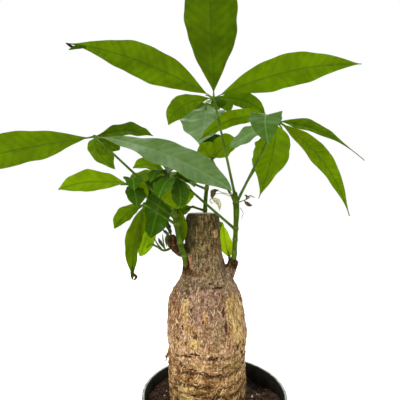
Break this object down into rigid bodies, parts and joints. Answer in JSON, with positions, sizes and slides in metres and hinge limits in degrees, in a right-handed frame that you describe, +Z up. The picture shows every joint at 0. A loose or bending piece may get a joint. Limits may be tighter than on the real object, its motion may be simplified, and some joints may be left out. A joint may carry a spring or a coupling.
{
  "type": "potted money tree",
  "caption": "Young money tree with a swollen, sawn-off trunk, green shoots and palmate leaves, growing in a plain round nursery pot.",
  "frame": {"origin": "middle of the flat underside of the pot, on the surface that the pot stands on", "axes": "+Z up along the pot's axis, +X to the right and +Y away from the viewer as the plant faces the front"},
  "size_m": [0.3805, 0.2099, 0.4823],
  "materials": {
    "pot_plastic": "thin black moulded plastic with a slightly worn, lighter rim",
    "soil": "coarse dark potting mix with fibres and a few light specks",
    "bark": "flaking tan bark on the belly, grey-brown striped bark on the neck",
    "shoot": "smooth green stem with a dull bloom and small scars",
    "leaf": "thin green blade, glossy above, lighter below, light shows through it"
  },
  "bodies": {
    "root": {"pot": "pot_plastic", "soil": "soil", "trunk": "bark", "shoot_right": "shoot", "shoot_left": "shoot", "shoot_back": "shoot", "leaf_right_crown": "leaf", "leaf_right_outer": "leaf", "leaf_right_middle": "leaf", "leaf_right_low": "leaf", "leaf_right_back": "leaf", "leaf_left_outer": "leaf", "leaf_left_low": "leaf", "leaf_left_hanging": "leaf", "leaf_left_top": "leaf", "leaf_left_inner": "leaf", "leaf_back_crown": "leaf", "leaf_back_left": "leaf", "leaf_back_side": "leaf", "leaf_back_low": "leaf", "leaf_right_sprout": "leaf"}
  },
  "joints": []
}
